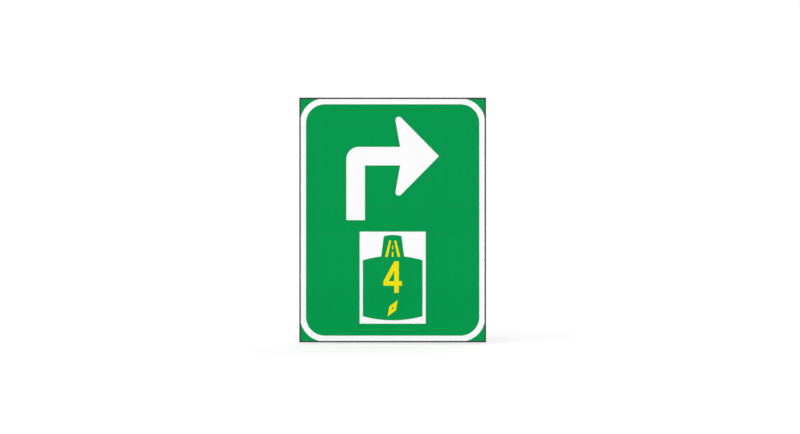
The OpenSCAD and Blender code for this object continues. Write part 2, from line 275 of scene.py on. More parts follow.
@dataclass(frozen=True)
class PrismaticFilm(Finish):
    """Microprismatic sheeting: clear acrylic over moulded cells, on aluminium or on other sheeting.

    It gives the eye a deep even colour with a soft gloss, a faint lattice where the film is sealed to its
    backing, and a slight change of tone from one plank's strip to the next. The cells are 0.2 mm in the real
    film, too fine to show, so they are drawn as a 3 mm shimmer.
    """

    colour: str
    seal: str
    edge: str
    on_metal: bool = False
    seal_pitch: float = 34.0
    seal_lean: float = 33.0
    seal_crest: Span = (0.984, 0.997)
    seal_share: float = 0.5
    strip_tone: Span = (0.99, 1.01)
    wash: Lumps = (70.0, 70.0, 1400.0)
    wash_tone: Span = (0.985, 1.01)
    cell: float = 3.0
    cell_tone: Span = (0.985, 1.015)
    skin: float = 5.0
    gloss: float = 0.028
    roughness: Span = (0.33, 0.41)
    depth: float = 0.03

    def seal_lines(self, nodes: FinishNodes) -> bpy.types.Node:
        """Draws thin lines, crests of two waves from 0 to 1, that lean to both sides and cross in lozenges.

        Args:
            nodes: Where the nodes go.

        Returns:
            1 on a line and 0 beside it.
        """
        low, high = self.seal_crest
        families = []
        for lean in (self.seal_lean, -self.seal_lean):
            turn = (0.0, math.radians(lean), 0.0)
            leaning = nodes.add("Mapping", {"Vector": nodes.place, "Rotation": turn})
            bands = nodes.add("TexWave", {
                "Vector": leaning, "Scale": ONE_BAND / (self.seal_pitch * MM), "Distortion": 0.0})
            families.append(nodes.add(
                "MapRange", {"Value": bands.outputs["Fac"], "From Min": low, "From Max": high}))
        return nodes.add("Math", {0: families[0], 1: families[1]}, operation="MAXIMUM")

    def tone(self, nodes: FinishNodes) -> bpy.types.Node:
        """Varies the brightness: one value for each strip, faint wash marks that run down, and the cells.

        Args:
            nodes: Where the nodes go.

        Returns:
            A factor near 1.
        """
        wash = nodes.grain(self.wash, spread=self.wash_tone)
        washed = nodes.add("Math", {0: nodes.batch(*self.strip_tone), 1: wash}, operation="MULTIPLY")
        cells = nodes.add("TexVoronoi", {"Vector": nodes.place, "Scale": 1.0 / (self.cell * MM)})
        low, high = self.cell_tone
        shimmer = nodes.add("MapRange", {
            "Value": cells.outputs["Color"], **NOISE_MIDDLE, "To Min": low, "To Max": high})
        return nodes.add("Math", {0: washed, 1: shimmer}, operation="MULTIPLY")

    def shader(self, nodes: FinishNodes) -> bpy.types.Node:
        """Adds film on the faces that look forwards, and what lies under it on the cut edges.

        Args:
            nodes: Where the nodes go.

        Returns:
            The sheeting's shader.
        """
        lines = self.seal_lines(nodes)
        film = nodes.add("HueSaturation", {"Color": linear(self.colour), "Value": self.tone(nodes)})
        share = nodes.add("Math", {0: lines, 1: self.seal_share}, operation="MULTIPLY")
        sealed = nodes.add("Mix", {0: share, 6: film, 7: linear(self.seal)}, data_type="RGBA")
        forwards = nodes.forwards()
        metal: Value = 0.0
        if self.on_metal:
            metal = nodes.add("Math", {0: 1.0, 1: forwards}, operation="SUBTRACT")
        skin = nodes.grain(self.skin, Detail.SMOOTH)
        height = nodes.add("Math", {0: skin, 1: lines}, operation="ADD")
        return nodes.surface(
            (forwards, linear(self.edge), sealed.outputs[2]), (skin, self.roughness), (height, self.depth),
            {"Metallic": metal, "Specular IOR Level": self.gloss})


@dataclass(frozen=True)
class ExtrudedAluminium(Finish):
    """Mill finish 6063 aluminium, pressed through a die: pale grey metal with fine lines along its length.

    The die's lines are 0.3 mm apart on the real metal, too fine to show, so they are drawn 1.3 mm apart,
    with broader streaks among them. Road grime has settled in the joints of the face, where the sheeting
    leaves a thin line of metal bare.
    """

    light: str = "#C9CCCF"
    dark: str = "#A8ACB0"
    grime: str = "#2F6B4A"
    line: float = 1.3
    line_weight: float = 0.7
    streak: float = 9.0
    run: float = 2600.0
    water_mark: Lumps = (420.0, 70.0, 70.0)
    mark_weight: float = 0.35
    grey_span: Span = (0.8, 1.25)
    plank_tone: Span = (0.95, 1.03)
    joint_grime: float = 1.5
    roughness: Span = (0.34, 0.46)
    depth: float = 0.02

    def shader(self, nodes: FinishNodes) -> bpy.types.Node:
        """Adds die lines and streaks along X, faint water marks, and the grime in the joints.

        Args:
            nodes: Where the nodes go.

        Returns:
            The metal's shader.
        """
        lines = nodes.grain((self.run, self.line, self.line))
        streaks = nodes.grain((self.run, self.streak, self.streak))
        marks = nodes.grain(self.water_mark, Detail.RAGGED)
        drawn = nodes.add("Math", {0: lines, 1: self.line_weight, 2: streaks}, operation="MULTIPLY_ADD")
        share = nodes.blended(marks, self.mark_weight, drawn, self.grey_span)
        greys = nodes.add("Mix", {0: share, 6: linear(self.dark), 7: linear(self.light)}, data_type="RGBA")
        batch = nodes.batch(*self.plank_tone)
        metal = nodes.add("HueSaturation", {"Color": greys.outputs[2], "Value": batch})
        off_joint = nodes.add("Math", {0: nodes.planks_up(), 1: 0.5}, operation="PINGPONG")
        near_joint = nodes.add(
            "Math", {0: off_joint, 1: self.joint_grime * MM / PLANK_PITCH}, operation="LESS_THAN")
        grimy = nodes.add("Math", {0: near_joint, 1: nodes.forwards()}, operation="MULTIPLY")
        bare = nodes.add("Math", {0: 1.0, 1: grimy}, operation="SUBTRACT")
        return nodes.surface(
            (grimy, metal, linear(self.grime)), (lines, self.roughness), (lines, self.depth),
            {"Metallic": bare})


@dataclass(frozen=True)
class GalvanisedSteel(Finish):
    """Hot-dip galvanised steel: zinc that froze in flat crystals, each a little lighter or darker grey.

    The eye sees the spangle, a matt bloom in patches and the slight waves of the dipped skin.
    """

    dark: str = "#979DA1"
    light: str = "#B9BEC1"
    bloom: str = "#C3C7C8"
    spangle: float = 10.0
    wander: float = 9.0
    bend: float = 6.0
    feather: float = 2.2
    feather_weight: float = 0.35
    grey_span: Span = (0.1, 1.2)
    patch: Lumps = (130.0, 130.0, 190.0)
    blooming: Span = (0.0, 0.55)
    wave: float = 18.0
    metallic: float = 0.85
    roughness: Span = (0.42, 0.6)
    depth: float = 0.25

    def shader(self, nodes: FinishNodes) -> bpy.types.Node:
        """Adds crystals whose edges a noise has bent, with feathering in them, and the bloom.

        Args:
            nodes: Where the nodes go.

        Returns:
            The zinc's shader.
        """
        wander = nodes.grain(self.wander, Detail.ROUGH).outputs["Color"]
        bent = nodes.add(
            "VectorMath", {0: wander, 1: [self.bend * MM] * 3, 2: nodes.place}, operation="MULTIPLY_ADD")
        crystals = nodes.add("TexVoronoi", {"Vector": bent, "Scale": 1.0 / (self.spangle * MM)})
        draws = nodes.add("SeparateColor", {0: crystals.outputs["Color"]})
        feather = nodes.grain(self.feather, Detail.ROUGH)
        share = nodes.blended(feather, self.feather_weight, draws, self.grey_span)
        zinc = nodes.add("Mix", {0: share, 6: linear(self.dark), 7: linear(self.light)}, data_type="RGBA")
        patches = nodes.grain(self.patch, Detail.RAGGED, self.blooming)
        return nodes.surface(
            (patches, zinc.outputs[2], linear(self.bloom)), (draws.outputs[1], self.roughness),
            (nodes.grain(self.wave), self.depth), {"Metallic": self.metallic})


@dataclass(frozen=True)
class CastAluminium(Finish):
    """Sand cast aluminium, as cast: matt light grey with a visible grit."""

    light: str = "#BEC1C3"
    dark: str = "#94989B"
    grit: float = 0.8
    grit_weight: float = 0.6
    stain: float = 14.0
    grey_span: Span = (0.5, 1.1)
    roughness: Span = (0.5, 0.64)
    depth: float = 0.12

    def shader(self, nodes: FinishNodes) -> bpy.types.Node:
        """Adds the grit and darker hollows between the grains.

        Args:
            nodes: Where the nodes go.

        Returns:
            The casting's shader.
        """
        grit = nodes.grain(self.grit)
        stain = nodes.grain(self.stain, Detail.ROUGH)
        share = nodes.blended(grit, self.grit_weight, stain, self.grey_span)
        return nodes.surface(
            (share, linear(self.dark), linear(self.light)), (grit, self.roughness), (grit, self.depth),
            {"Metallic": 1.0})


@dataclass(frozen=True)
class DriftingCoat(Finish):
    """A coat on metal that drifts from one tone to another, under the fine skin that its making leaves."""

    colour: str
    other: str
    drift: Lumps
    skin: Lumps
    roughness: Span
    depth: float
    drift_detail: Detail = Detail.SMOOTH
    drift_span: Span = (0.0, 1.0)
    skin_detail: Detail = Detail.SMOOTH
    metallic: float = 0.0
    gloss: float = 0.3

    def shader(self, nodes: FinishNodes) -> bpy.types.Node:
        """Adds the drift between the tones and the skin.

        Args:
            nodes: Where the nodes go.

        Returns:
            The coat's shader.
        """
        share = nodes.grain(self.drift, self.drift_detail, self.drift_span)
        skin = nodes.grain(self.skin, self.skin_detail)
        return nodes.surface(
            (share, linear(self.colour), linear(self.other)), (skin, self.roughness), (skin, self.depth),
            {"Metallic": self.metallic, "Specular IOR Level": self.gloss})


@dataclass(frozen=True)
class TexturedPowderCoat(DriftingCoat):
    """Dark polyester powder coat on aluminium: near black and leathery, a little chalky in broad patches.

    The skin's lumps are 0.3 mm on the real coat, too fine to show, so they are drawn 1.2 mm wide.
    """

    colour: str = "#1E1F1D"
    other: str = "#383933"
    drift: Lumps = (90.0, 30.0, 90.0)
    skin: Lumps = 1.2
    roughness: Span = (0.42, 0.6)
    depth: float = 0.06
    drift_detail: Detail = Detail.RAGGED
    drift_span: Span = (0.0, 0.5)


@dataclass(frozen=True)
class ZincPlate(DriftingCoat):
    """Bright zinc plate on steel fasteners: slightly blue, with a faint yellow film and light scratches."""

    colour: str = "#B7BDC6"
    other: str = "#C6C4B4"
    drift: Lumps = 22.0
    skin: Lumps = (0.5, 5.0, 5.0)
    roughness: Span = (0.22, 0.36)
    depth: float = 0.01
    drift_detail: Detail = Detail.GRAINY
    skin_detail: Detail = Detail.GRAINY
    metallic: float = 1.0
    gloss: float = 0.5


@dataclass(frozen=True)
class StovedPaint(DriftingCoat):
    """Stoved enamel on rivet heads, in the colour of the plate they hold: smooth, a little orange peel."""

    drift: Lumps = 35.0
    skin: Lumps = 1.4
    roughness: Span = (0.33, 0.37)
    depth: float = 0.02


@dataclass
class Shape:
    """Points and four-sided faces of one surface, or of many joined."""

    points: np.ndarray
    faces: np.ndarray

    @staticmethod
    def grid(points: np.ndarray, wrap_rows: bool) -> "Shape":
        """Joins a grid of points into a surface.

        Point (k, a) is joined with its neighbours (k, a + 1), (k + 1, a + 1) and (k + 1, a), and the last
        column with the first.

        Args:
            points: Array of rows, columns and 3 coordinates.
            wrap_rows: Whether the last row joins the first too.

        Returns:
            The surface.
        """
        rows, columns = points.shape[:2]
        numbers = np.arange(rows * columns).reshape(rows, columns)
        numbers = np.hstack([numbers, numbers[:, :1]])
        if wrap_rows:
            numbers = np.vstack([numbers, numbers[:1]])
        faces = np.stack([numbers[:-1, :-1], numbers[:-1, 1:], numbers[1:, 1:], numbers[1:, :-1]], axis=-1)
        return Shape(points.reshape(-1, 3), faces.reshape(-1, 4))

    def copies(self, places: np.ndarray, axis: Axis) -> "Shape":
        """Turns the shape to an axis and repeats it at each place.

        With R the axis's turn, point p of the copy at place q is q + R p.

        Args:
            places: One row of 3 coordinates for each copy.
            axis: Where the shape's +Z goes.

        Returns:
            All copies as one shape.
        """
        points = places[:, None, :] + self.points @ np.array(axis.value, dtype=float).T
        steps = np.arange(len(places))[:, None, None] * len(self.points)
        return Shape(points.reshape(-1, 3), (self.faces + steps).reshape(-1, 4))

    @staticmethod
    def joined(shapes: Iterable["Shape"]) -> "Shape":
        """Puts several shapes into one.

        Args:
            shapes: The shapes.

        Returns:
            One shape with the points and faces of all.
        """
        parts = list(shapes)
        starts = np.cumsum([0] + [len(part.points) for part in parts[:-1]])
        return Shape(
            np.vstack([part.points for part in parts]),
            np.vstack([part.faces + start for part, start in zip(parts, starts)]))

    def piece(self, name: str, finish: Finish, slot: str, crease: float = 35.0) -> None:
        """Makes the shape a piece that rides on the sign's body, with its object at the origin.

        Args:
            name: The piece's name.
            finish: Its finish.
            slot: Name of a material slot; not used.
            crease: Angle past which an edge stays sharp.
        """
        mesh = bpy.data.meshes.new(name)
        mesh.from_pydata(self.points.tolist(), [], self.faces.tolist())
        work = bmesh.new()
        work.from_mesh(mesh)
        bmesh.ops.remove_doubles(work, verts=work.verts, dist=MERGED * MM)
        work.to_mesh(mesh)
        work.free()
        mesh.validate()
        mesh.polygons.foreach_set("use_smooth", np.ones(len(mesh.polygons), dtype=bool))
        mesh.set_sharp_from_angle(angle=math.radians(crease))
        mesh.materials.append(finish.material())
        made = bpy.data.objects.new(name, mesh)
        bpy.context.scene.collection.objects.link(made)
        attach(made, BODY)
        log.info("%s: %d faces", name, len(mesh.polygons))


def circle(angles: np.ndarray) -> np.ndarray:
    """Points (cos a, sin a) at angles in radians."""
    return np.stack([np.cos(angles), np.sin(angles)], axis=-1)


def turned(radii: np.ndarray, heights: np.ndarray) -> Shape:
    """A body about +Z whose radius may change with the angle, as a nut's does.

    The point at level k and angle a is (r[k, a] cos a, r[k, a] sin a, h[k]).

    Args:
        radii: Array of levels and angles, from the centre of the foot to the centre of the top.
        heights: Height of each level.

    Returns:
        The closed surface.
    """
    columns = radii.shape[1]
    around = radii[:, :, None] * circle(np.arange(columns) * 2.0 * np.pi / columns)
    levels = np.repeat(heights[:, None, None], columns, axis=1)
    points = np.concatenate([around, levels], axis=-1)
    return Shape.grid(points, wrap_rows=False)


def carried(section: np.ndarray, path: np.ndarray, normal: Sequence[float], swell: np.ndarray) -> Shape:
    """A section carried round a closed path.

    With t the path's direction and n the normal, the point is p + w (x (n x t) + y n), where (x, y) is on the
    section and w is how much the section has swelled there.

    Args:
        section: Points (x, y) of the section, anticlockwise.
        path: Points of the closed path.
        normal: Normal of the plane in which the path mostly lies.
        swell: One factor for each point of the path.

    Returns:
        The closed surface.
    """
    along = np.roll(path, -1, axis=0) - np.roll(path, 1, axis=0)
    along /= np.linalg.norm(along, axis=1, keepdims=True)
    up = np.asarray(normal, dtype=float)
    side = np.cross(up, along)
    offsets = section[None, :, 0, None] * side[:, None, :] + section[None, :, 1, None] * up
    return Shape.grid(path[:, None, :] + swell[:, None, None] * offsets, wrap_rows=True)


def rounded_loop(half_width: float, half_height: float, radius: float, step: float) -> np.ndarray:
    """Even points round a rectangle with round corners.

    The corners are quarter circles about (half_width - radius, half_height - radius) and its mirror places,
    and the loop is then divided into equal steps along its length.

    Args:
        half_width: Half of the width, in metres as all lengths here.
        half_height: Half of the height.
        radius: Radius of the corners.
        step: Distance between two points, about.

    Returns:
        Points (x, y), anticlockwise.
    """
    quarter = np.linspace(0.0, 0.5 * np.pi, QUARTER_POINTS)
    angles = np.concatenate([quarter + 0.5 * np.pi * turn for turn in range(4)])
    signs = np.repeat(QUARTERS, len(quarter), axis=0)
    corner_arcs = signs * np.array([half_width - radius, half_height - radius]) + radius * circle(angles)
    closed = np.vstack([corner_arcs, corner_arcs[:1]])
    lengths = np.concatenate([[0.0], np.cumsum(np.linalg.norm(np.diff(closed, axis=0), axis=1))])
    count = round(lengths[-1] / step)
    places = np.arange(count) * lengths[-1] / count
    return np.stack([np.interp(places, lengths, closed[:, k]) for k in (0, 1)], axis=-1)


def inset(outline: np.ndarray, distance: float) -> np.ndarray:
    """Moves each side of a closed outline inwards and finds where the moved sides meet.

    With u and v the directions of the sides before and after a corner, the corner moves by
    distance (v - u) / (u x v), which keeps it the same distance from both.

    Args:
        outline: Corners (x, y), anticlockwise.
        distance: How far each side moves, in metres.

    Returns:
        The moved corners.
    """
    before = outline - np.roll(outline, 1, axis=0)
    after = np.roll(outline, -1, axis=0) - outline
    before /= np.linalg.norm(before, axis=1, keepdims=True)
    after /= np.linalg.norm(after, axis=1, keepdims=True)
    cross = before[:, 0] * after[:, 1] - before[:, 1] * after[:, 0]
    return outline + distance * (after - before) / cross[:, None]


def spaced(start: np.ndarray, end: np.ndarray, pitch: float, last: bool = False) -> np.ndarray:
    """Even points from start towards end, about a pitch apart.

    Of n steps, point k is start + (end - start) k / n.

    Args:
        start: First point.
        end: Where the row ends.
        pitch: Distance wanted between two points, in millimetres.
        last: Whether the end is a point too.

    Returns:
        The points.
    """
    count = max(1, round(float(np.linalg.norm(end - start)) / (pitch * MM)))
    shares = np.linspace(0.0, 1.0, count + 1)
    return start + (shares if last else shares[:-1])[:, None] * (end - start)


def round_loop(loop: np.ndarray, pitch: float, room: float = 0.0) -> np.ndarray:
    """Even points along each side of a closed outline.

    Args:
        loop: Corners (x, z), in order.
        pitch: Distance wanted between two points, in millimetres.
        room: Distance from a corner to the points on both sides of it, or 0 for one point in it.

    Returns:
        The points.
    """
    rows = []
    for start, end in zip(loop, np.roll(loop, -1, axis=0)):
        free = room * MM * (end - start) / np.linalg.norm(end - start)
        rows.append(spaced(start + free, end - free, pitch, last=room > 0.0))
    return np.vstack(rows)


def rectangle(left: float, foot: float, right: float, top: float) -> np.ndarray:
    """Corners (x, z) of a rectangle, anticlockwise."""
    return np.array([(left, foot), (right, foot), (right, top), (left, top)])


def on_face(x: float | np.ndarray, z: np.ndarray, depth: float) -> np.ndarray:
    """Points (x, depth, z) on a face that looks along Y."""
    return np.stack(np.broadcast_arrays(x, depth, z), axis=-1).reshape(-1, 3)


@dataclass(frozen=True)
class Rivet:
    """A blind rivet's domed head, with the dimple that its broken pin leaves."""

    head: float = 9.5
    rise: float = 1.4
    columns: int = 12

    def shape(self) -> Shape:
        """Turns the head from its profile: a thin rim, a dome and the dimple.

        Returns:
            The head, with its foot at the origin.
        """
        # Radius as a share of the head's, and height as a share of the rise.
        profile = np.array([
            (0.0, 0.0), (1.0, 0.0), (1.0, 0.2), (0.88, 0.65), (0.6, 1.0), (0.3, 1.0), (0.24, 0.7),
            (0.0, 0.7)])
        profile *= (self.head / 2.0 * MM, self.rise * MM)
        return turned(np.repeat(profile[:, :1], self.columns, axis=1), profile[:, 1])


@dataclass(frozen=True)
class HexFastener:
    """A washer with a hexagon on it: a bolt's head, or a nut with the bolt's end standing out of it.

    A share is of the size across flats for the chamfer, of half of it for the face and the dish, of the
    washer's thickness for its rim, and of the pitch for the thread and its end.
    """

    across: float
    thickness: float
    washer: float
    washer_thickness: float
    shank: float
    thread_pitch: float
    stand_out: float = 0.0
    dish: float = 0.3
    chamfer_share: float = 0.12
    face_share: float = 0.96
    dish_shares: tuple[float, float] = (0.8, 0.74)
    rim_share: float = 0.15
    thread_share: float = 0.61
    end_share: float = 0.1
    columns: int = 24

    def hexagon(self, level: float) -> np.ndarray:
        """Radius of the hexagon at a height above its foot.

        It is the apothem over cos(a), with a the angle from the middle of a flat, and is held down near both
        faces by a 30 degree chamfer cone.

        Args:
            level: Height above the hexagon's foot.

        Returns:
            One radius for each column.
        """
        turn = np.arange(self.columns) * 360.0 / self.columns
        from_flat = np.radians((turn + 30.0) % 60.0 - 30.0)
        flat = self.across / 2.0
        from_face = min(level, self.thickness - level)
        cone = self.face_share * flat + from_face / math.tan(math.radians(30.0))
        return np.minimum(flat / np.cos(from_flat), cone)

    def top(self, start: float) -> list[tuple[float, float]]:
        """Profile above the hexagon: a head's dished face, or a threaded end, root and crest by turns.

        Args:
            start: Height of the hexagon's top.

        Returns:
            Radius and height of each level.
        """
        if not self.stand_out:
            rim, floor = (share * self.across / 2.0 for share in self.dish_shares)
            return [(rim, start), (floor, start - self.dish), (0.0, start - self.dish)]
        crest, root = self.shank / 2.0, self.shank / 2.0 - self.thread_share * self.thread_pitch
        levels = []
        for foot in start + self.thread_pitch * np.arange(int(self.stand_out / self.thread_pitch) + 1):
            levels += [(root, foot), (crest, foot + 0.5 * self.thread_pitch)]
        return levels[:-1] + [(0.0, levels[-2][1] + self.end_share * self.thread_pitch)]

    def shape(self) -> Shape:
        """Turns the washer, the hexagon with its chamfers and what is above it.

        Returns:
            The fastener, with the washer's foot at the origin.
        """
        foot, edge = self.washer_thickness, self.washer / 2.0
        rim = self.rim_share * foot
        washer = [(0.0, 0.0), (edge, 0.0), (edge, foot - rim), (edge - rim, foot)]
        cuts = np.array([0.0, 0.5, 1.0]) * self.chamfer_share * self.across
        flats = [(self.hexagon(level), foot + level) for level in (*cuts, *(self.thickness - cuts[::-1]))]
        levels = washer + flats + self.top(foot + self.thickness)
        radii = np.array([np.broadcast_to(radius, self.columns) for radius, _ in levels])
        return turned(radii * MM, np.array([height for _, height in levels]) * MM)


@dataclass(frozen=True)
class WeldBead:
    """A fillet weld laid by hand: a round bead with the ripple of each small stop."""

    radius: float
    ripple: float = 2.6
    columns: int = 10
    step: float = 0.9
    thinnest: float = 0.9
    ripple_rise: float = 0.13
    wander: float = 0.05

    def section(self) -> np.ndarray:
        """The bead's section, points (r cos a, r sin a) of a circle."""
        return self.radius * MM * circle(np.arange(self.columns) * 2.0 * np.pi / self.columns)

    def swell(self, count: int) -> np.ndarray:
        """Swelling along the bead: arches |sin| a ripple apart, on a slower wander of 5 and 3 waves.

        Args:
            count: Number of points along the path.

        Returns:
            One factor for each point.
        """
        turn = np.arange(count) / count
        arches = np.abs(np.sin(np.pi * round(count * self.step / self.ripple) * turn))
        slow = np.sin(2.0 * np.pi * 5.0 * turn) * np.cos(2.0 * np.pi * 3.0 * turn)
        return self.thinnest + self.ripple_rise * arches + self.wander * slow


GREEN_FILM = PrismaticFilm("Green prismatic sheeting", colour="#00964B", seal="#26A564", edge="#0B6E3C")
WHITE_FILM = PrismaticFilm(
    "White prismatic sheeting", colour="#FDFDFD", seal="#E9ECEB", edge="#C4C7CA", on_metal=True)
YELLOW_FILM = PrismaticFilm("Yellow prismatic sheeting", colour="#F2E104", seal="#F6EA5C", edge="#C4B40C")
PLANK_METAL = ExtrudedAluminium("Mill finish extruded aluminium")
TRIM_COAT = TexturedPowderCoat("Dark textured powder coat")
DIPPED_STEEL = GalvanisedSteel("Hot-dip galvanised steel")
DIPPED_WELD = GalvanisedSteel(
    "Galvanised weld metal", dark="#858C90", light="#A9AFB2", bloom="#B5B9BA", spangle=5.0)
CAST_METAL = CastAluminium("Sand cast aluminium")
BOLT_PLATE = ZincPlate("Bright zinc plate")
WHITE_HEADS = StovedPaint("White stoved enamel", colour="#FBFBFA", other="#F2F3F2")
DARK_HEADS = StovedPaint("Dark stoved enamel", colour="#30312E", other="#3A3B36")


def dress(names: Iterable[str], finish: Finish) -> None:
    """Gives solids their finish.

    Args:
        names: Names of the solids.
        finish: The finish that they all take.
    """
    for name in names:
        for material_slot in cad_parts[name].material_slots:
            material_slot.material = finish.material()
        log.info("%s: %s", name, finish.name)


def corners(name: str) -> tuple[np.ndarray, np.ndarray]:
    """Lowest and highest corner of a solid."""
    low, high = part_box(name)
    return np.array(low), np.array(high)


def middle(name: str) -> np.ndarray:
    """Middle of a solid's box."""
    return sum(corners(name)) / 2.0


@dataclass
class PlankFace:
    """The face: planks bolted flange to flange, with a strip of sheeting on each."""

    planks: list[str] = field(default_factory=lambda: sorted(
        (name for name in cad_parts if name.startswith("plank_")), key=lambda name: int(name[6:])))
    flange: float = 3.0
    bolt_depth: float = 19.0
    bolts_a_joint: int = 5
    bolt_margin: float = 108.0
    head: HexFastener = HexFastener(
        across=13.0, thickness=5.3, washer=16.0, washer_thickness=1.6, shank=8.0, thread_pitch=1.25)
    nut: HexFastener = replace(head, thickness=6.8, stand_out=5.0)

    def edges(self) -> np.ndarray:
        """Heights of the planks' feet, and in a second row of their tops."""
        return np.array([corners(name) for name in self.planks])[:, :, 2].T

    def build(self) -> None:
        """Dresses the face and adds the stitch bolts that pull the flanges together."""
        dress(self.planks, PLANK_METAL)
        dress(["green_sheeting"], GREEN_FILM)
        low, high = corners(self.planks[0])
        feet, tops = self.edges()
        margin = self.bolt_margin * MM
        rows = np.linspace(low[0] + margin, high[0] - margin, self.bolts_a_joint)
        joints = (tops[:-1] + feet[1:]) / 2.0
        places = on_face(rows, joints[:, None], low[1] + self.bolt_depth * MM)
        reach = np.array([0.0, 0.0, (feet[1] - tops[0]) / 2.0 + self.flange * MM])
        heads = self.head.shape().copies(places + reach, Axis.UP)
        nuts = self.nut.shape().copies(places - reach, Axis.DOWN)
        Shape.joined([heads, nuts]).piece("stitch_bolts", BOLT_PLATE, "galvanised_steel")


@dataclass
class EdgeTrim:
    """The dark angles round the face and the rivets in their lips."""

    corner_room: float = 75.0
    pitch: float = 150.0
    rivet: Rivet = Rivet(head=6.4, rise=1.0)

    def build(self) -> None:
        """Dresses the trim and sets a row of rivets in the middle of each lip, clear of the mitres."""
        dress(["trim_top", "trim_bottom", "trim_left", "trim_right"], TRIM_COAT)
        left, right = middle("trim_left")[0], middle("trim_right")[0]
        loop = rectangle(left, middle("trim_bottom")[2], right, middle("trim_top")[2])
        places = on_face(*round_loop(loop, self.pitch, self.corner_room).T, corners("trim_top")[0][1])
        self.rivet.shape().copies(places, Axis.FRONT).piece("trim_rivets", DARK_HEADS, "dark_trim")


@dataclass
class Legend:
    """The white border, the arrow and the marker plate with its shield and yellow marks."""

    straights: tuple[str, ...] = ("border_top", "border_bottom", "border_left", "border_right")
    pitch: float = 150.0
    arrow_inset: float = 35.0
    plate_inset: float = 17.0
    border_room: float = 37.5
    shaft: float = 205.0
    elbow: float = 138.0
    elbow_points: int = 7
    head_half: float = 436.0
    barb: float = 36.0
    tip_angle: float = 45.4
    lean: float = 10.0
    corner_rivets: int = 3
    rivet: Rivet = Rivet()

    def arrow_rows(self) -> np.ndarray:
        """Rivets that follow the arrow's outline, which is drawn from its sizes with sharp barbs.

        The barb's sharp corner is where the head's front edge, which leaves the tip at tip_angle, meets the
        back edge, which leans from upright by lean.

        Returns:
            Points (x, z).
        """
        low, high = corners("turn_arrow")
        half, axis = self.shaft * MM / 2.0, high[2] - self.head_half * MM
        sharp, lean = math.radians(self.tip_angle), math.radians(self.lean)
        barb_z = (self.head_half - self.barb) * MM
        barb_x = high[0] - (barb_z * math.cos(sharp) + self.barb * MM) / math.sin(sharp)
        back_x = barb_x - self.barb * MM * math.cos(lean) + (
            barb_z - self.barb * MM * math.sin(lean) - half) * math.tan(lean)
        rise = (high[0] - back_x - half * math.tan(lean)) / (1.0 / math.tan(sharp) - math.tan(lean))
        barb = np.array([high[0] - rise / math.tan(sharp), rise])
        turn = np.radians(np.linspace(90.0, 180.0, self.elbow_points))
        centre = np.array([low[0] + self.elbow * MM, half - self.elbow * MM])
        bend = centre + self.elbow * MM * circle(turn)
        foot, inner = low[2] - axis, low[0] + self.shaft * MM
        outline = np.vstack([
            [(low[0], foot), (inner, foot), (inner, -half), (back_x, -half), (barb[0], -barb[1]),
             (high[0], 0.0), barb, (back_x, half)], bend])
        return round_loop(inset(outline, self.arrow_inset * MM), self.pitch) + (0.0, axis)

    def plate_rows(self) -> np.ndarray:
        """Rivets, as points (x, z), round the edge of the marker plate."""
        (left, _, foot), (right, _, top) = corners("marker_plate")
        return round_loop(inset(rectangle(left, foot, right, top), self.plate_inset * MM), self.pitch)

    def border_rows(self) -> np.ndarray:
        """Rivets along the middle of the border, on its straights and then on its round corners.

        Returns:
            Points (x, z).
        """
        rows = []
        for name in self.straights:
            low, high = corners(name)
            place, size = middle(name)[[0, 2]], (high - low)[[0, 2]]
            reach = np.eye(2)[size.argmax()] * (size.max() / 2.0 - self.border_room * MM)
            rows.append(spaced(place - reach, place + reach, self.pitch, last=True))
        centre = np.array([corners("border_top")[1][0], corners("border_right")[1][2]])
        radius = middle("border_right")[0] - centre[0]
        place = middle("border_corners")[[0, 2]]
        angles = np.radians(np.linspace(0.0, 90.0, self.corner_rivets + 2)[1:-1])
        quarter = centre - place + radius * circle(angles)
        return np.vstack(rows + [place + quarter * mirror for mirror in QUARTERS])

    def build(self) -> None:
        """Dresses the plates and the marks and sets their rivets."""
        dress([*self.straights, "border_corners", "turn_arrow", "marker_plate"], WHITE_FILM)
        dress(["marker_shield"], GREEN_FILM)
        dress(["route_number", "road_mark", "needle_mark"], YELLOW_FILM)
        front = corners("marker_plate")[0][1]
        for name, rows in (("arrow_rivets", self.arrow_rows()), ("marker_rivets", self.plate_rows()),
                           ("border_rivets", self.border_rows())):
            heads = self.rivet.shape().copies(on_face(*rows.T, front), Axis.FRONT)
            heads.piece(name, WHITE_HEADS, "white_plate")


@dataclass
class Clamps:
    """The clips that hold the planks to the hangers, and their bolts."""

    face: PlankFace
    track_inset: float = 12.5
    bolt_share: float = 0.52
    nut: HexFastener = HexFastener(
        across=17.0, thickness=8.4, washer=20.0, washer_thickness=2.0, shank=10.0, thread_pitch=1.5,
        stand_out=9.0)

    def build(self) -> None:
        """Dresses the clips and puts a washer, a nut and a bolt's end on each.

        A clip's bolt stands in the track of its plank: above a joint on the side of each hanger that looks
        along +X, and below it on the other side.
        """
        dress(["clips_left", "clips_right"], CAST_METAL)
        feet, tops = self.face.edges()
        lows, highs = feet + self.track_inset * MM, tops - self.track_inset * MM
        places = []
        for hanger, clips in (("hanger_left", "clips_left"), ("hanger_right", "clips_right")):
            edge, heel = corners(hanger)[1][0], corners(clips)[1]
            reach = edge + self.bolt_share * (heel[0] - edge)
            for x, heights in ((reach, lows), (2.0 * middle(hanger)[0] - reach, highs)):
                places.append(on_face(x, heights, heel[1]))
        nuts = self.nut.shape().copies(np.vstack(places), Axis.BACK)
        nuts.piece("clamp_bolts", BOLT_PLATE, "galvanised_steel")


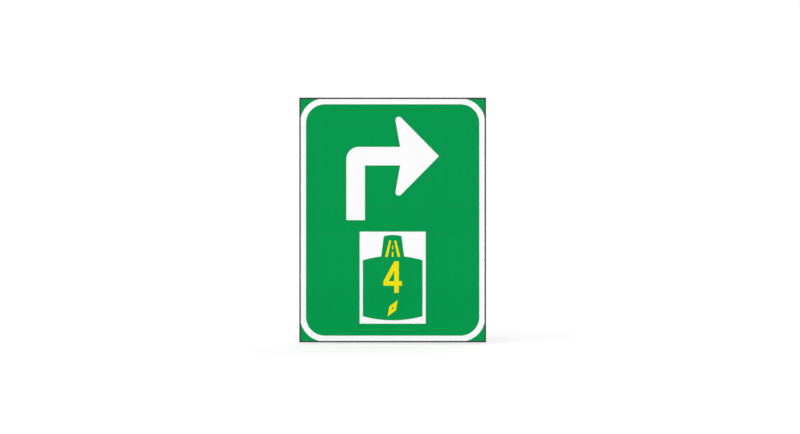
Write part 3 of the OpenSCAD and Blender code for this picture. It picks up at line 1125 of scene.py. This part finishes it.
@dataclass
class BackFrame:
    """The welded and galvanised frame: two hangers, two rails and the rails' end plates."""

    rail_bead: WeldBead = WeldBead(radius=4.0)
    cap_bead: WeldBead = WeldBead(radius=1.7, ripple=2.0, columns=8)
    rail_corner: float = 8.0
    corner_reach: float = 0.45
    loop_corner: float = 6.0
    cap_corner: float = 6.0
    cap_offset: float = 0.4
    bead_front: float = 1.0
    bead_back: float = 2.2
    bead_fall: float = 8.0
    crease: float = 80.0

    def crossing(self, hanger: str, rail: str) -> Shape:
        """The bead round the place where a rail crosses a hanger.

        It runs in front of the rail's face beside the flange, and falls back into the groove over the rail's
        round corners above and below. The fall is 3 s^2 - 2 s^3 of its depth, where s goes from 0 to 1 over
        the last bead_fall of the height.

        Args:
            hanger: Name of the hanger.
            rail: Name of the rail.

        Returns:
            The bead.
        """
        (left, _, _), (right, back, _) = corners(hanger)
        (_, _, foot), (_, _, top) = corners(rail)
        half_width = (right - left) / 2.0 + self.bead_front * MM
        half_height = (top - foot) / 2.0 - self.corner_reach * self.rail_corner * MM
        loop = rounded_loop(half_width, half_height, self.loop_corner * MM, self.rail_bead.step * MM)
        fall = self.bead_fall * MM
        share = np.clip((np.abs(loop[:, 1]) - half_height + fall) / fall, 0.0, 1.0)
        blend = share * share * (3.0 - 2.0 * share)
        depth = back + (-self.bead_front + (self.bead_front + self.bead_back) * blend) * MM
        path = np.stack([middle(hanger)[0] + loop[:, 0], depth, middle(rail)[2] + loop[:, 1]], axis=-1)
        return carried(self.rail_bead.section(), path, (0.0, -1.0, 0.0), self.rail_bead.swell(len(path)))

    def end_beads(self, rail: str, caps: str) -> list[Shape]:
        """The beads round the two end plates of a rail.

        Args:
            rail: Name of the rail.
            caps: Name of its end plates.

        Returns:
            One bead for each end.
        """
        centre = middle(caps)
        half = corners(caps)[1] - centre
        loop = rounded_loop(half[1], half[2], self.cap_corner * MM, self.cap_bead.step * MM)
        swell = self.cap_bead.swell(len(loop))
        beads = []
        for side, end in zip((-1.0, 1.0), corners(rail)):
            x = np.full(len(loop), end[0] + side * self.cap_offset * MM)
            path = np.stack([x, centre[1] + loop[:, 0], centre[2] + loop[:, 1]], axis=-1)
            beads.append(carried(self.cap_bead.section(), path, (1.0, 0.0, 0.0), swell))
        return beads

    def build(self) -> None:
        """Dresses the frame and lays its welds."""
        hangers, rails = ("hanger_left", "hanger_right"), ("rail_upper", "rail_lower")
        caps = ("rail_caps_upper", "rail_caps_lower")
        dress(hangers + rails + caps, DIPPED_STEEL)
        crossings = [self.crossing(hanger, rail) for hanger in hangers for rail in rails]
        ends = [bead for rail, cap in zip(rails, caps) for bead in self.end_beads(rail, cap)]
        for name, beads in (("rail_welds", crossings), ("cap_welds", ends)):
            Shape.joined(beads).piece(name, DIPPED_WELD, "galvanised_steel", self.crease)


@dataclass(frozen=True)
class Lamp:
    """A broad sun: where it stands, seen from the sign, its strength and its width."""

    name: str
    azimuth: float
    elevation: float
    strength: float
    breadth: float

    def build(self) -> None:
        """Adds the lamp to the scene."""
        lamp = bpy.data.lights.new(self.name, "SUN")
        lamp.energy, lamp.angle = self.strength, math.radians(self.breadth)
        made = bpy.data.objects.new(self.name, lamp)
        made.rotation_euler = (math.radians(90.0 - self.elevation), 0.0, math.radians(self.azimuth))
        bpy.context.scene.collection.objects.link(made)


@dataclass
class Studio:
    """A white floor, soft plain light and the camera that sees the sign as the reference does.

    Two suns in front light the face evenly and one behind lights the frame. The reference's sizes are in its
    pixels and those of the floor are in metres.
    """

    reference_size: tuple[float, float] = (800.0, 434.0)
    sign_centre: tuple[float, float] = (392.67, 219.98)
    sign_width: float = 186.76
    lens: float = 90.0
    sensor: float = 36.0
    farthest: float = 200.0
    clearance: float = 0.02
    floor_half: float = 60.0
    floor_colour: str = "#A4A4A4"
    floor_lift: float = 0.59
    sky_light: float = 0.395
    lamps: tuple[Lamp, ...] = (
        Lamp("front_key", azimuth=-24.0, elevation=44.0, strength=2.22, breadth=60.0),
        Lamp("front_fill", azimuth=42.0, elevation=14.0, strength=0.75, breadth=90.0),
        Lamp("back_key", azimuth=158.0, elevation=35.0, strength=1.15, breadth=70.0))

    def camera(self) -> None:
        """Stands straight in front, far off, with the lens shifted so that the sign is off the middle."""
        width, height = self.reference_size
        frame_width = (solid_high[0] - solid_low[0]) * width / self.sign_width
        data = bpy.data.cameras.new("camera")
        data.lens, data.sensor_width, data.clip_end = self.lens, self.sensor, self.farthest
        data.shift_x = (width / 2.0 - self.sign_centre[0]) / width
        data.shift_y = (self.sign_centre[1] - height / 2.0) / width
        made = bpy.data.objects.new("camera", data)
        x, _, z = (np.array(solid_low) + solid_high) / 2.0
        made.location = (x, solid_low[1] - frame_width * self.lens / self.sensor, z)
        made.rotation_euler = (math.radians(90.0), 0.0, 0.0)
        bpy.context.scene.collection.objects.link(made)
        bpy.context.scene.camera = made

    @staticmethod
    def seen(nodes: Nodes) -> bpy.types.Node:
        """Tells what is seen, straight or in metal or glass, from light that falls on things.

        Args:
            nodes: Where the nodes go.

        Returns:
            1 for what is seen and 0 for light.
        """
        rays = nodes.add("LightPath").outputs
        either = nodes.add("Math", {0: rays["Is Camera Ray"], 1: rays["Is Glossy Ray"]}, operation="MAXIMUM")
        return nodes.add("Math", {0: either, 1: rays["Is Transmission Ray"]}, operation="MAXIMUM")

    def floor(self) -> None:
        """A matt pale floor below the sign, lifted to white for the camera but for the sign's shadow."""
        level = solid_low[2] - self.clearance
        mesh = bpy.data.meshes.new("floor")
        mesh.from_pydata([(x, y, level) for x, y in self.floor_half * QUARTERS], [], [(0, 1, 2, 3)])
        made = bpy.data.objects.new("floor", mesh)
        bpy.context.scene.collection.objects.link(made)
        material = bpy.data.materials.new("Pale studio floor")
        nodes = Nodes(material)
        matt = nodes.add("BsdfDiffuse", {"Color": linear(self.floor_colour)})
        lift = nodes.add("Math", {0: self.seen(nodes), 1: self.floor_lift}, operation="MULTIPLY")
        glow = nodes.add("Emission", {"Color": linear("#FFFFFF"), "Strength": lift})
        both = nodes.add("AddShader", {0: matt, 1: glow})
        nodes.add("OutputMaterial", {"Surface": both})
        mesh.materials.append(material)

    def world(self) -> None:
        """White where it is seen, and a plain grey light on everything."""
        world = bpy.data.worlds.new("studio")
        nodes = Nodes(world)
        strength = nodes.add("MapRange", {"Value": self.seen(nodes), "To Min": self.sky_light, "To Max": 1.0})
        shell = nodes.add("Background", {"Color": linear("#FFFFFF"), "Strength": strength})
        nodes.add("OutputWorld", {"Surface": shell})
        bpy.context.scene.world = world

    def build(self) -> None:
        """Sets the camera, the floor, the world and the lamps."""
        self.camera()
        self.floor()
        self.world()
        for lamp in self.lamps:
            lamp.build()
        bpy.context.scene.view_settings.view_transform = "Standard"


def main() -> None:
    """Builds the studio and each sub-assembly in order."""
    logging.basicConfig(level=logging.INFO, format="%(message)s")
    Studio().build()
    face = PlankFace()
    for assembly in (face, EdgeTrim(), Legend(), Clamps(face), BackFrame()):
        log.info("building %s", type(assembly).__name__)
        assembly.build()


if __name__ == "__main__":
    main()
